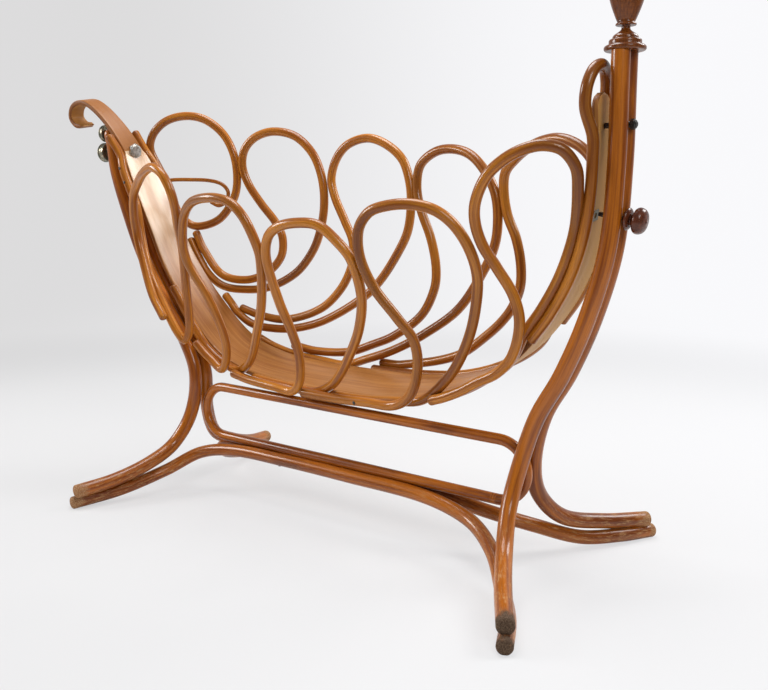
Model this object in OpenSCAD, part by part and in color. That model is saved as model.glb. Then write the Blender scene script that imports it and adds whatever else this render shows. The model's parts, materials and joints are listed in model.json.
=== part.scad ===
// Swinging cradle of bent rods on a two post stand.
// X runs along the cradle, with the tall post at +X, and Z is up.
// The origin is on the floor, at the middle of the overall length and width.

/* [Stand] */
// Height of the pivots above the floor
pivot_z = 859; // [859:1:880]
// Distance between the two pivots, board to board
span = 1300; // [1260:5:1340]
// Diameter of the leg rods
leg_d = 33; // [30:0.5:34]
// Diameter of the floor rails
rail_d = 30; // [27:0.5:31]
// Diameter of the stretcher loop's rod
loop_d = 23; // [19:0.5:24]
// Gap between the two rods of a post
post_gap = 0.6; // [0.4:0.1:1]
// Height of the turned collar's underside
collar_z = 982; // [978:1:990]

/* [Basket] */
// Tilt of the basket at rest, near side down
tilt = 10; // [8:0.5:12]
// Thickness of the keel board
board_t = 13; // [10:0.5:13]
// Half width of the board at its ends
board_end = 22; // [20:0.5:24]
// Extra half width of the board at its low end
board_low = 8; // [6:0.5:9]
// Further half width at the middle of the board
board_swell = 58; // [50:1:60]
// Diameter of the basket's rods
rod_d = 21.5; // [19:0.5:22]
// Diameter of the volute's thin rod
volute_d = 10; // [8:0.5:11]
// Gap between the board and the rods that lie on it
rod_gap = 0.3; // [0.2:0.1:0.6]

/* [Iron] */
// Diameter of the pivot bolts' shanks
bolt_d = 10; // [8:0.5:10]
// Running clearance round a shank, on the radius
run_gap = 0.08; // [0.05:0.01:0.1]
// Width of the hexagon head across its flats
hex_w = 34; // [30:0.5:36]
// Diameter of the low pivot's round nut
nut_d = 51; // [46:1:52]
// Diameter of the clamp bolt's round nut
clamp_nut_d = 45; // [40:1:46]
// Diameter of the lock's iron pin
pin_d = 9; // [7:0.5:9.5]
// Diameter of the lock's knob
knob_d = 48; // [44:1:50]

/* [Finial] */
// Largest diameter of the collar
collar_d = 72; // [68:1:76]
// Largest diameter of the urn
urn_d = 66; // [60:1:70]
// Diameter of the socket for the veil pole
socket_d = 20; // [16:0.5:22]
// Depth of the socket
socket_h = 60; // [40:1:70]

/* [Hidden] */

amber = [0.70, 0.40, 0.13];
honey = [0.80, 0.53, 0.22];
umber = [0.52, 0.27, 0.09];
russet = [0.33, 0.12, 0.07];
iron = [0.12, 0.11, 0.11];
bronze = [0.36, 0.34, 0.28];
nickel = [0.72, 0.71, 0.69];

leg_r = leg_d / 2;
rail_r = rail_d / 2;
rod_r = rod_d / 2;
end_x = span / 2;
leg_y = leg_r + post_gap / 2;
rail_y = rail_r + 0.5;
turn = 360;

// How much longer half of the span is than the 650 mm that the routes below are drawn for.
// They stretch between the pivots, and beyond them they keep their distance from the pivot.
grow = end_x - 650;
function spread_x(x) = x + grow * min(1, max(-1, x / 650));
function spread(route) = [for (q = route) concat([spread_x(q[0])], [for (k = [1 : len(q) - 1]) q[k]])];

// Middle of the tall post, beyond its pivot
tall_post_x = end_x + 38;

// Route of a low leg, foot to top: [x, distance from the middle plane, z], with the post's run at leg_y
LOW_LEG = spread([[-507, 322, 42], [-479, 229, 55], [-456, 141, 82], [-447, 70, 118], [-428, 27, 194],
    [-420, leg_y, 296], [-461, leg_y, 385], [-531, leg_y, 478], [-604, leg_y, 582], [-661, leg_y, 698],
    [-703, leg_y, 805], [-715, leg_y, 875], [-723, leg_y, 904]]);
// Route of a tall leg, foot to collar, with x counted from the post's middle
TALL_LEG = [for (q = [[-36, 313, 42], [-95, 216, 53], [-145, 124, 79], [-171, 63, 141], [-167, 30, 220],
    [-140, leg_y, 317], [-90, leg_y, 407], [-44, leg_y, 518], [-10, leg_y, 646], [0, leg_y, 790],
    [0, leg_y, collar_z - 46], [0, leg_y, collar_z]]) [tall_post_x + q[0], q[1], q[2]]];
// Route of a floor rail, from the low end's foot to the tall end's
RAIL = spread([[-516, 327, 14], [-479, 215, 26], [-441, 105, 55], [-386, 38, 95], [-286, 18.3, 113],
    [-123, rail_y, 116], [88, rail_y, 114], [290, 18.3, 110], [411, 34, 89], [497, 88, 60],
    [565, 167, 26], [622, 250, 18], [659, 327, 14]]);
// Stave in the groove of the low post's outer side
STAVE = spread([[-745, 0, 914], [-738, 0, 872], [-728, 0, 806], [-698, 0, 722], [-657, 0, 632], [-638, 0, 592]]);

// Middle line of the board in the basket's frame, from the low pivot to the tall end's top: [x, z]
BOARD = spread([[-657, 0], [-622, -88], [-585, -181], [-545, -293], [-476, -406], [-384, -505], [-280, -545],
    [-150, -559], [0, -562], [150, -558], [320, -528], [455, -454], [548, -356], [606, -258],
    [636, -160], [648, -60], [650, 0], [651, 57]]);
// Scroll beyond the low pivot, from its curled tip
SCROLL = spread([[-829, 75], [-853, 79], [-869, 98], [-858, 122], [-830, 135], [-793, 133], [-760, 116],
    [-725, 87], [-690, 49]]);

// Distance along a route to each of its points
function runs(p, i = 0, s = 0) = i == len(p) - 1 ? [s] : concat([s], runs(p, i + 1, s + norm(p[i + 1] - p[i])));
function slope(p, s, i) = let (a = max(i - 1, 0), b = min(i + 1, len(p) - 1)) (p[b] - p[a]) / (s[b] - s[a]);
// Point at u of the stretch from point i on, a cubic through the route's points
function blend(p, s, i, u) = let (h = s[i + 1] - s[i], a = slope(p, s, i) * h, b = slope(p, s, i + 1) * h)
    (2 * u * u * u - 3 * u * u + 1) * p[i] + (u * u * u - 2 * u * u + u) * a
    + (3 * u * u - 2 * u * u * u) * p[i + 1] + (u * u * u - u * u) * b;
// Smooth curve along a route, with a point about every step
function curve(p, step) = let (s = runs(p), n = len(p) - 1) concat(
    [for (i = [0 : n - 1]) let (m = max(2, round((s[i + 1] - s[i]) / step)))
        for (j = [0 : m - 1]) blend(p, s, i, j / m)], [p[n]]);
function unit(v) = v / norm(v);
function along(p, i) = unit(p[min(i + 1, len(p) - 1)] - p[max(i - 1, 0)]);
function square_to(v, d) = unit(v - (v * d) * d);
// Side direction at each ring, carried along without twist
function sides(p, v, i = 0) = let (a = square_to(v, along(p, i)))
    i == len(p) - 1 ? [a] : concat([a], sides(p, a, i + 1));
function ring(c, d, a, r, n) = let (b = cross(d, a)) [for (k = [0 : n - 1])
    c + r * (cos(turn * k / n) * a + sin(turn * k / n) * b)];

// Rod along a route, with its ends rounded over by the lengths in ease
module rod(route, r, n = 10, step = 24, ease = [3, 3]) {
    p = curve(route, step);
    m = len(p) - 1;
    d0 = along(p, 0);
    d1 = along(p, m);
    a = sides(p, abs(d0[1]) < 0.9 ? [0, 1, 0] : [1, 0, 0]);
    lead = [for (k = [0 : 2]) let (w = 30 * k)
        ring(p[0] - ease[0] * cos(w) * d0, d0, a[0], r - ease[0] * (1 - sin(w)) * 0.96, n)];
    body = [for (i = [0 : m]) ring(p[i], along(p, i), a[i], r, n)];
    tail = [for (k = [2 : -1 : 0]) let (w = 30 * k)
        ring(p[m] + ease[1] * cos(w) * d1, d1, a[m], r - ease[1] * (1 - sin(w)) * 0.96, n)];
    rings = concat(lead, body, tail);
    last = len(rings) - 1;
    polyhedron([for (q = rings) each q], concat(
        [[for (k = [0 : n - 1]) k]],
        [[for (k = [n - 1 : -1 : 0]) last * n + k]],
        [for (i = [0 : last - 1], k = [0 : n - 1]) [i * n + k, (i + 1) * n + k, (i + 1) * n + (k + 1) % n]],
        [for (i = [0 : last - 1], k = [0 : n - 1]) [i * n + k, (i + 1) * n + (k + 1) % n, i * n + (k + 1) % n]]));
}

function to_side(route, s) = [for (q = route) [q[0], s * q[1], q[2]]];

// Pieces are drawn with x = 0 halfway between the pivots, and this moves them to the origin
mid_x = 67.1;
module at_home() {
    translate([mid_x, 0, 0]) children();
}

// What lies below the floor
module below_floor() {
    translate([-end_x * 2, -end_x, -100]) cube([end_x * 4, end_x * 2, 100]);
}

// Places a piece made along +Z so that it runs along +X
module along_x() {
    rotate([0, 90, 0]) children();
}

/* Stand */

clamp_z = pivot_z + 50;
clamp_face = -end_x - 107;
lock_z = 700;
lock_x = tall_post_x - 4;
lock_lean = 9;

module pivot_shank(gap) {
    translate([-2 * end_x, 0, pivot_z]) along_x() cylinder(h = 4 * end_x, r = bolt_d / 2 + gap, $fn = 48);
}

module clamp_bore() {
    translate([clamp_face - 5, 0, clamp_z]) along_x() cylinder(h = 80, r = bolt_d / 2, $fn = 48);
}

// Moves a piece made along +Z onto the lock's line, outward and a little down
module on_lock() {
    translate([lock_x, 0, lock_z]) rotate([0, 90 + lock_lean, 0]) children();
}

module low_leg(s) {
    color(amber) at_home() difference() {
        rod(to_side(LOW_LEG, s), leg_r, 12, 34, [3, 12]);
        pivot_shank(run_gap);
        clamp_bore();
        below_floor();
    }
}

module tall_leg(s) {
    color(amber) at_home() difference() {
        rod(to_side(TALL_LEG, s), leg_r, 12, 34, [3, 0.5]);
        pivot_shank(run_gap);
        on_lock() translate([0, 0, -60]) cylinder(h = 120, r = pin_d / 2 + run_gap, $fn = 48);
        below_floor();
    }
}

module leg_low_near() { low_leg(-1); }
module leg_low_far() { low_leg(1); }
module leg_tall_near() { tall_leg(-1); }
module leg_tall_far() { tall_leg(1); }

module floor_rail(s) {
    color(amber) at_home() difference() {
        rod(to_side(RAIL, s), rail_r, 12, 36);
        below_floor();
    }
}

module floor_rail_near() { floor_rail(-1); }
module floor_rail_far() { floor_rail(1); }

loop_r = loop_d / 2;
loop_z0 = 115 + sqrt(pow(rail_r + loop_r, 2) - pow(rail_y, 2)) + 0.2;
loop_z1 = 262;
loop_lean = 0.5;
loop_x0 = spread_x(-335);
loop_x1 = spread_x(459);

// Oblong rod that stands on the rails, with a half circle at each end
module stretcher_loop() {
    bend = (loop_z1 - loop_z0) / 2;
    color(amber) at_home() translate([0, 0, (loop_z0 + loop_z1) / 2]) rotate([90, loop_lean, 0]) {
        for (s = [-1, 1])
            translate([loop_x0, s * bend, 0]) along_x() cylinder(h = loop_x1 - loop_x0, r = loop_r, $fn = 48);
        translate([loop_x0, 0, 0]) rotate([0, 0, 90])
            rotate_extrude(angle = 180, $fn = 96) translate([bend, 0]) circle(r = loop_r, $fn = 48);
        translate([loop_x1, 0, 0]) rotate([0, 0, -90])
            rotate_extrude(angle = 180, $fn = 96) translate([bend, 0]) circle(r = loop_r, $fn = 48);
    }
}

stave_r = 13;

module low_post_stave() {
    color(umber) at_home() difference() {
        rod(STAVE, stave_r, 12, 34, [8, 3]);
        pivot_shank(run_gap);
        clamp_bore();
    }
}

// Stepped disc on the tall post, with a neck for the urn
module post_collar() {
    top = 10;
    color(russet) at_home() translate([tall_post_x, 0, collar_z]) rotate_extrude($fn = 72) polygon([
        [0, 0.5], [leg_d - 2, 0.5], [collar_d / 2 - 2, 0.5], [collar_d / 2, 3], [collar_d / 2, top - 3],
        [collar_d / 2 - 3, top], [28, top], [28, top + 8], [26, top + 10], [22, top + 10], [22, top + 14],
        [20, top + 17], [14, top + 21], [8.5, top + 25], [7.5, top + 28], [7.5, top + 32], [0, top + 32]]);
}

urn_z = collar_z + 42.3;
urn_h = 130;

// Turned urn with the veil pole's socket in its top
module post_urn() {
    mid = urn_h * 0.55;
    color(russet) at_home() translate([tall_post_x, 0, urn_z]) difference() {
        rotate_extrude($fn = 72) polygon(concat(
            [[0, 0], [17, 0], [18, 1.5], [17, 4], [14.5, 5.5]],
            [for (k = [1 : 8]) let (u = k / 8) [15 + (urn_d / 2 - 15) * sin(90 * u), 6 + (mid - 6) * u]],
            [for (k = [1 : 6]) let (u = k / 6) [urn_d / 2 - 12 * (1 - cos(90 * u)), mid + 36 * sin(90 * u)]],
            [[urn_d / 2 - 9, mid + 39], [urn_d / 2 - 9, mid + 43], [24, mid + 46], [20, urn_h - 4],
             [18, urn_h], [0, urn_h]]));
        translate([0, 0, urn_h - socket_h]) cylinder(h = socket_h + 1, r = socket_d / 2, $fn = 64);
    }
}

// Round nut with a raised middle, standing on its face along +Z
module round_nut(d, h, bore) {
    difference() {
        rotate_extrude($fn = 60) polygon([[0, 0], [d / 2 - 2, 0], [d / 2 - 2, h - 11], [d / 2, h - 9], [d / 2, h - 6],
            [d / 2 - 2, h - 4], [d / 4, h - 3], [d / 4 - 1, h - 1], [0, h]]);
        translate([0, 0, -1]) cylinder(h = h - 6, r = bore, $fn = 48);
    }
}

// Bolt and nut that hold the low post's rods together
module clamp_bolt_low() {
    color(bronze) at_home() translate([clamp_face, 0, clamp_z]) rotate([0, -90, 0]) {
        round_nut(clamp_nut_d, 17, bolt_d / 2 - 1);
        translate([0, 0, -43]) cylinder(h = 44, r = bolt_d / 2 - 0.05, $fn = 48);
        translate([0, 0, -44]) cylinder(h = 5, r = bolt_d / 2 + 2, $fn = 48);
    }
}

// Round screw head, its face at the origin and its shank along -Z
module screw(r, l) {
    rotate_extrude($fn = 24) polygon([[0, 1.6], [r * 0.6, 1.3], [r, 0], [r * 0.5, 0], [r * 0.5, -l], [0, -l]]);
}

// Screws that hold the rails to the stretcher loop, from below
module stand_screws() {
    color(iron) at_home() {
        for (x = [-130, 90], s = [-1, 1])
            translate([spread_x(x), s * rail_y, 115 - rail_r + 0.6]) rotate([180, 0, 0]) screw(4, 6);
    }
}

/* Basket, drawn about the pivots' line and then hung from it */

module hang() {
    translate([mid_x, 0, pivot_z]) rotate([tilt, 0, 0]) children();
}

B_RUNS = runs(BOARD);
// Middle of the board at station t, counted along BOARD, and the direction into the basket there
function board_at(t) = let (i = min(floor(t), len(BOARD) - 2)) blend(BOARD, B_RUNS, i, t - i);
function board_in(t) = let (d = unit(board_at(min(t + 0.05, 17)) - board_at(max(t - 0.05, 0)))) [-d[1], d[0]];
function half_w(x) = board_end + board_swell * sqrt(max(0, 1 - pow(x / (end_x + 4), 2)))
    + board_low * pow(max(0, -x / (end_x + 4)), 8);

outer_up = 3;   // how far the outer stems lie above the board's middle, clear of the stretcher below

// Point beside the board at station t: out from its edge by dy, and up from its middle by dn
function by_edge(t, s, dy, dn) = let (c = board_at(t), n = board_in(t))
    [c[0] + n[0] * dn, s * (half_w(c[0]) + dy), c[1] + n[1] * dn];
function beside(t, s) = by_edge(t, s, rod_r + rod_gap, 0);
function outside(t, s) = by_edge(t, s, 3 * rod_r + 2 * rod_gap, outer_up);
function above(t, s) = by_edge(t, s, rod_r + 12, rod_r + 8);

// Strip of the board's thickness along a middle line
function strip(p) = let (m = len(p) - 1) concat(
    [for (i = [0 : m]) let (d = along(p, i)) p[i] + board_t / 2 * [-d[1], d[0]]],
    [for (i = [m : -1 : 0]) let (d = along(p, i)) p[i] - board_t / 2 * [-d[1], d[0]]]);

module board_side() {
    linear_extrude(height = 2 * (board_end + board_swell), center = true)
        polygon(strip(curve(concat(SCROLL, BOARD), 26)));
}

// Leaf shaped outline of the board, seen from above
module board_plan() {
    far = [for (k = [0 : 24]) let (x = -end_x - 4 + (2 * end_x + 8) * k / 24) [x, half_w(x)]];
    outline = concat([[-end_x - 230, 22], [-end_x - 70, 26]], far, [[end_x + 40, board_end]]);
    translate([0, 0, -700]) linear_extrude(height = 900)
        polygon(concat(outline, [for (i = [len(outline) - 1 : -1 : 0]) [outline[i][0], -outline[i][1]]]));
}

module keel_board() {
    color(honey) hang() difference() {
        intersection() {
            rotate([90, 0, 0]) board_side();
            board_plan();
        }
        translate([-2 * end_x, 0, 0]) along_x() cylinder(h = 4 * end_x, r = bolt_d / 2, $fn = 48);
        translate([hex_face, 0, 0]) along_x() cylinder(h = 60, r = hex_w / 2 + 3, $fn = 48);
    }
}

hex_face = -end_x + 1.5;

// Hexagon headed bolt of the low pivot, which turns with the board
module pivot_bolt_low() {
    color(nickel) hang() translate([hex_face, 0, 0]) along_x() {
        cylinder(h = 8, r = hex_w / 2 / cos(30), $fn = 6);
        translate([0, 0, 8]) cylinder(h = 1.5, r = hex_w / 2 - 3, $fn = 48);
        translate([0, 0, low_nut_x - hex_face - 17])
            cylinder(h = hex_face - low_nut_x + 17.5, r = bolt_d / 2, $fn = 48);
    }
}

low_nut_x = -end_x - 103.5;

module pivot_nut_low() {
    color(bronze) hang() translate([low_nut_x, 0, 0]) rotate([0, -90, 0]) round_nut(nut_d, 25, bolt_d / 2 + 0.01);
}

tall_nut_x = tall_post_x + leg_r + 0.5;

// Iron bolt of the tall pivot, with its inner nut on the board
module pivot_bolt_tall() {
    color(iron) hang() {
        translate([end_x - 22, 0, 0]) along_x()
            cylinder(h = tall_nut_x + 11 - end_x + 22, r = bolt_d / 2, $fn = 48);
        translate([end_x - board_t / 2 - 8, 0, 0]) along_x() difference() {
            cylinder(h = 7.8, r = 9.5, $fn = 6);
            translate([0, 0, -1]) cylinder(h = 10, r = bolt_d / 2 - 0.5, $fn = 48);
        }
    }
}

module pivot_nut_tall() {
    color(iron) hang() translate([tall_nut_x, 0, 0]) along_x() difference() {
        union() {
            cylinder(h = 7, r = 9.5, $fn = 6);
            translate([0, 0, 7]) cylinder(h = 2, r = 7.5, $fn = 36);
        }
        translate([0, 0, -1]) cylinder(h = 12, r = bolt_d / 2 + 0.01, $fn = 48);
    }
}

// Arch over the board's tall end, its legs running down both edges
module end_arch() {
    leg = [for (t = [11.7, 12.2, 12.8, 13.4, 14, 14.6, 15.2, 15.8]) by_edge(t, -1, rod_r + rod_gap, -1)];
    top = spread([[641, -44, 35], [644, -42, 70], [649, -25, 96], [652, 0, 104]]);
    half = concat(leg, top);
    back = [for (i = [len(half) - 2 : -1 : 0]) [half[i][0], -half[i][1], half[i][2]]];
    color(amber) hang() rod(concat(half, back), rod_r, 10, 22);
}

// Crook loops of the near side: stem on the board's edge, left strand, crown, right strand, stem
NEAR_1 = concat(spread([[-684, -42, 42]]), [for (t = [0.05, 0.5, 1, 1.5]) beside(t, -1)],
    spread([[-590, -72, -206], [-560, -92, -280], [-503, -117, -350], [-456, -132, -410], [-433, -136, -440],
     [-415, -135, -458], [-399, -130, -440], [-391, -126, -392], [-385, -125, -320], [-358, -139, -220],
     [-339, -156, -160], [-325, -168, -105], [-332, -170, -66], [-352, -168, -38], [-388, -161, -25],
     [-440, -146, -38], [-490, -126, -60], [-538, -112, -97], [-563, -104, -150], [-568, -102, -206],
     [-545, -115, -270], [-503, -138, -345], [-457, -153, -396]]));
NEAR_2 = concat([for (t = [4.7, 4.95, 5.2]) outside(t, -1)],
    spread([[-326, -107, -534], [-296, -112, -498], [-286, -117, -440], [-303, -133, -340], [-338, -150, -240],
     [-311, -163, -154], [-255, -180, -106], [-177, -193, -91], [-115, -195, -100], [-80, -195, -129],
     [-62, -188, -180], [-62, -178, -226], [-103, -154, -334], [-150, -135, -410], [-205, -110, -482],
     [-250, -95, -522]]), [for (t = [5.85, 5.3, 4.8]) beside(t, -1)],
    [for (q = [[4.3, 7], [3.9, 12], [3.5, 14]]) by_edge(q[0], -1, rod_r + rod_gap, q[1])]);
NEAR_3 = concat([for (t = [5.95, 6.3, 6.6, 7.05]) outside(t, -1)],
    spread([[-88, -113, -559], [-54, -119, -529], [-34, -129, -460], [-34, -142, -400], [-44, -157, -329],
     [-42, -180, -225], [-18, -190, -176], [20, -194, -152], [75, -193, -143], [125, -188, -149],
     [165, -180, -185], [185, -170, -222], [188, -155, -300], [162, -143, -375], [115, -128, -443],
     [65, -110, -500], [20, -97, -538]]),
    [for (t = [7.75, 7.3, 6.8, 6.35]) beside(t, -1)]);
NEAR_4 = concat([for (t = [7.65, 8, 8.4, 8.9]) outside(t, -1)],
    spread([[205, -111, -554], [254, -113, -524], [283, -116, -458], [285, -123, -396], [262, -140, -345],
     [222, -156, -278], [208, -170, -215], [215, -174, -160], [245, -175, -125], [285, -173, -112],
     [335, -163, -110], [381, -150, -123], [412, -137, -152], [433, -124, -197], [440, -112, -250],
     [434, -109, -300], [412, -105, -370], [375, -103, -440], [328, -95, -494]]),
    [for (t = [9.65, 9.2, 8.7, 8.2]) beside(t, -1)]);
NEAR_5 = concat([for (t = [9.9, 10.1, 10.4, 10.7]) outside(t, -1)],
    spread([[458, -97, -455], [495, -96, -416], [514, -93, -350], [506, -95, -295], [479, -105, -238],
     [460, -117, -195], [453, -126, -150], [460, -130, -110], [484, -126, -66], [518, -118, -38],
     [552, -107, -23], [584, -95, -19], [612, -80, -30], [629, -66, -62], [628, -58, -98]]),
    [for (t = [13.9, 13.4, 12.8, 12.2]) by_edge(t, -1, rod_r, rod_d - 3)], [by_edge(11.75, -1, rod_r, 17)],
    [for (t = [11.2, 10.8, 10.4, 10]) beside(t, -1)]);

// Crook loops of the far side: the left strand's end, crown, right strand, stem on the board's edge
FAR_1 = concat(spread([[-684, 42, 42]]), [for (t = [0.05, 0.5, 1, 1.5]) beside(t, 1)],
    spread([[-588, 66, -182], [-562, 80, -212], [-518, 97, -212], [-477, 113, -193], [-440, 132, -145],
     [-429, 142, -96], [-434, 147, -35], [-460, 146, 18], [-504, 133, 58], [-556, 116, 73], [-612, 95, 66],
     [-650, 76, 38], [-664, 66, 0], [-652, 72, -50], [-634, 80, -95]]));
FAR_2 = concat([above(2.5, 1), above(2.9, 1)],
    spread([[-490, 90, -346], [-416, 106, -362], [-347, 122, -342], [-306, 138, -302], [-301, 148, -255],
     [-318, 149, -215], [-361, 149, -165], [-398, 149, -112], [-411, 150, -66], [-402, 158, -25],
     [-368, 170, 4], [-315, 184, 14], [-254, 195, -2], [-205, 196, -45], [-180, 191, -98],
     [-171, 181, -160], [-178, 167, -222], [-204, 152, -285], [-258, 133, -343], [-349, 115, -382],
     [-438, 97, -387], [-486, 80, -374]]), [beside(3.4, 1), beside(3, 1), beside(2.6, 1)]);
FAR_3 = concat([above(4.4, 1)],
    spread([[-372, 100, -457], [-290, 112, -464], [-183, 128, -432], [-118, 143, -378], [-84, 157, -315],
     [-84, 168, -262], [-108, 177, -215], [-140, 187, -155], [-152, 196, -110], [-134, 204, -62],
     [-98, 211, -30], [-40, 216, -18], [15, 213, -34], [63, 206, -69], [85, 196, -115], [92, 186, -165],
     [84, 173, -232], [56, 162, -285], [3, 150, -353], [-49, 140, -397], [-166, 120, -459],
     [-260, 104, -484], [-340, 91, -486], [-395, 80, -474]]),
    [for (q = [[4.4, 7], [4.2, 9], [4, 9]]) by_edge(q[0], 1, rod_r + rod_gap, q[1])]);
FAR_4 = concat([above(6.1, 1), above(6.7, 1)],
    spread([[-84, 106, -531], [-15, 114, -508], [52, 122, -480], [125, 137, -428], [160, 149, -366],
     [164, 159, -315], [150, 169, -250], [122, 180, -185], [108, 192, -135], [118, 199, -85],
     [160, 201, -56], [210, 197, -50], [262, 185, -62], [305, 170, -95], [335, 157, -141],
     [343, 149, -190], [336, 143, -248], [310, 138, -303], [239, 127, -400], [145, 114, -466],
     [60, 103, -510], [-25, 93, -541]]), [for (t = [7.4, 6.9, 6.2, 5.6, 5.15]) beside(t, 1)]);
FAR_5 = concat([by_edge(8.1, 1, rod_r + 18, 12), by_edge(8.5, 1, rod_r + 17, 14)],
    spread([[234, 105, -508], [316, 113, -453], [372, 119, -398], [398, 126, -345], [400, 134, -295],
     [388, 143, -240], [365, 152, -189], [356, 159, -140], [362, 160, -100], [390, 156, -72],
     [430, 143, -48], [470, 132, -34], [514, 117, -30], [556, 103, -42], [588, 90, -66], [606, 74, -100]]),
    [for (t = [13.6, 13, 12.4]) by_edge(t, 1, rod_r, rod_d - 3)], [by_edge(11.75, 1, rod_r, 17)],
    [for (t = [11.1, 10.4, 9.7, 9, 8.4, 8]) beside(t, 1)]);

module crook(route) {
    color(amber) hang() rod(route, rod_r);
}

module loop_near_1() { crook(NEAR_1); }
module loop_near_2() { crook(NEAR_2); }
module loop_near_3() { crook(NEAR_3); }
module loop_near_4() { crook(NEAR_4); }
module loop_near_5() { crook(NEAR_5); }
module loop_far_1() { crook(FAR_1); }
module loop_far_2() { crook(FAR_2); }
module loop_far_3() { crook(FAR_3); }
module loop_far_4() { crook(FAR_4); }
module loop_far_5() { crook(FAR_5); }

// Thin rod from the far edge that ends in a curl against the first loop
VOLUTE = spread([[-626, 68, -90], [-606, 77, -88], [-560, 95, -91], [-505, 113, -97], [-469, 123, -109],
    [-454, 126, -130], [-462, 121, -153], [-484, 114, -164], [-505, 108, -154]]);

module side_volute() {
    color(umber) hang() rod(VOLUTE, volute_d / 2, 8, 14, [2, 2]);
}

// Where the lock's line meets the board, as a station, and how far off the board's middle
lock_t = 14.07;
lock_y = -27;
plate_t = 2;

// Plate that the lock's pin points at, let into the board's outer face
module lock_plate() {
    c = board_at(lock_t);
    n = board_in(lock_t);
    color(nickel) hang() translate([c[0], lock_y, c[1]]) rotate([0, -atan2(n[1], n[0]), 0])
        translate([-board_t / 2 - plate_t + 0.3, 0, 0]) difference() {
            translate([0, -9, -10]) cube([plate_t, 22, 20]);
            translate([-1, 0, 0]) along_x() cylinder(h = plate_t + 2, r = pin_d / 2 + 0.5, $fn = 48);
        }
}

// Screws that hold the loops' stems to the board's edges
module basket_screws() {
    color(iron) hang() {
        edge_screw(8.7, -1, 2 * rod_r + rod_gap, outer_up);
        for (t = [0.42, 0.82]) edge_screw(t, -1);
        for (t = [1.2, 3.2, 5.8, 9.2, 12.6]) edge_screw(t, 1);
        edge_screw(4.3, 1, 0, 8);
    }
}

module edge_screw(t, s, out = 0, up = 0) {
    translate(by_edge(t, s, rod_d + rod_gap - 0.6 + out, up)) rotate([-s * 90, 0, 0]) screw(3.5, 8);
}

module lock_shaft() {
    color(iron) at_home() on_lock() translate([0, 0, -33]) cylinder(h = 71, r = pin_d / 2, $fn = 48);
}

module lock_collar() {
    color(russet) at_home() on_lock() translate([0, 0, 19]) difference() {
        rotate_extrude($fn = 60) polygon([[0, 0], [17, 0], [20, 2], [20.5, 4], [18, 7], [13, 8.5], [0, 8.5]]);
        translate([0, 0, -1]) cylinder(h = 12, r = pin_d / 2, $fn = 48);
    }
}

module lock_knob() {
    color(russet) at_home() on_lock() translate([0, 0, 27.8]) difference() {
        rotate_extrude($fn = 60) polygon([[0, 0], [11, 0], [10, 3], [12, 6], [20, 8], [23, 11], [knob_d / 2, 15],
            [knob_d / 2 - 1, 20], [20, 25], [14, 28], [0, 30]]);
        translate([0, 0, -1]) cylinder(h = 13, r = pin_d / 2, $fn = 48);
    }
}

leg_low_near();
leg_low_far();
leg_tall_near();
leg_tall_far();
floor_rail_near();
floor_rail_far();
stretcher_loop();
low_post_stave();
post_collar();
post_urn();
clamp_bolt_low();
stand_screws();
keel_board();
end_arch();
loop_near_1();
loop_near_2();
loop_near_3();
loop_near_4();
loop_near_5();
loop_far_1();
loop_far_2();
loop_far_3();
loop_far_4();
loop_far_5();
side_volute();
lock_plate();
basket_screws();
pivot_bolt_low();
pivot_nut_low();
pivot_bolt_tall();
pivot_nut_tall();
lock_knob();
lock_shaft();
lock_collar();
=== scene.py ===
"""Swinging cradle on a stand: the looks of the bent rods, the keel board, the turned pieces and the iron."""

import json
import math

import bpy
import numpy as np
from bpy.props import FloatProperty, FloatVectorProperty, IntProperty, PointerProperty
from bpy.types import Operator, Panel, PropertyGroup
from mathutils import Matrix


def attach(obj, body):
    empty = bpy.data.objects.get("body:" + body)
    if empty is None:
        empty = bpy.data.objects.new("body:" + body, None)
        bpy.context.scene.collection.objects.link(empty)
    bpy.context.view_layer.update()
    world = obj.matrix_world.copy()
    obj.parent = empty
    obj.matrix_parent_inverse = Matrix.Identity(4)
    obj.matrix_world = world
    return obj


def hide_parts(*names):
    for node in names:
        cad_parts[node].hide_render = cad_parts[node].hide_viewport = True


bl_info = {
    "name": "Swinging cradle",
    "version": (1, 0, 0),
    "blender": (4, 5, 0),
    "location": "View3D > Sidebar > Cradle",
    "description": "Dresses a bentwood cradle on its stand",
    "category": "Object",
}

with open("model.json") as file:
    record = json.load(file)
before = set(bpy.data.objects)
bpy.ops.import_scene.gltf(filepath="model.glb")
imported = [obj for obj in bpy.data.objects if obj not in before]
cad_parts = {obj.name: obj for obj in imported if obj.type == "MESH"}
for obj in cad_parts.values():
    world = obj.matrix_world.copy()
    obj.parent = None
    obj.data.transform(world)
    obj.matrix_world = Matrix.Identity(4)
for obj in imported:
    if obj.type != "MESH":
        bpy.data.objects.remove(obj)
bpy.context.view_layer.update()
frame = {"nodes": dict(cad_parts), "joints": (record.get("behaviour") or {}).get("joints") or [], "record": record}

MM = 0.001
MOUNTS = {mount["name"]: mount for mount in frame["record"]["mounts"]}
JOINTS = {joint["name"]: joint for joint in frame["joints"]}
PIVOT = np.array(JOINTS["swing"]["pos_m"]) / MM
MIDDLE = PIVOT[0]
TALL_POST = MOUNTS["veil_pole_socket"]["pos_m"][0] / MM

# Driving sizes of the routes below, in millimetres
LEG_R = 16.5
RAIL_R = 15
LOOP_R = 11.5
STAVE_R = 13
ROD_R = 10.75
VOLUTE_R = 5
POST_GAP = 0.6
COLLAR_Z = 982
TILT = math.radians(10)
END_X = 650
LEAF_X = END_X + 4
TALL_X = END_X + 38
LOCK_X = TALL_X - 4
LOCK_Z = 700
BOARD_T = 13
BOARD_END = 22
BOARD_LOW = 8
BOARD_SWELL = 58
BOARD_CORNER = 4
ROD_GAP = 0.3
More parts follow.
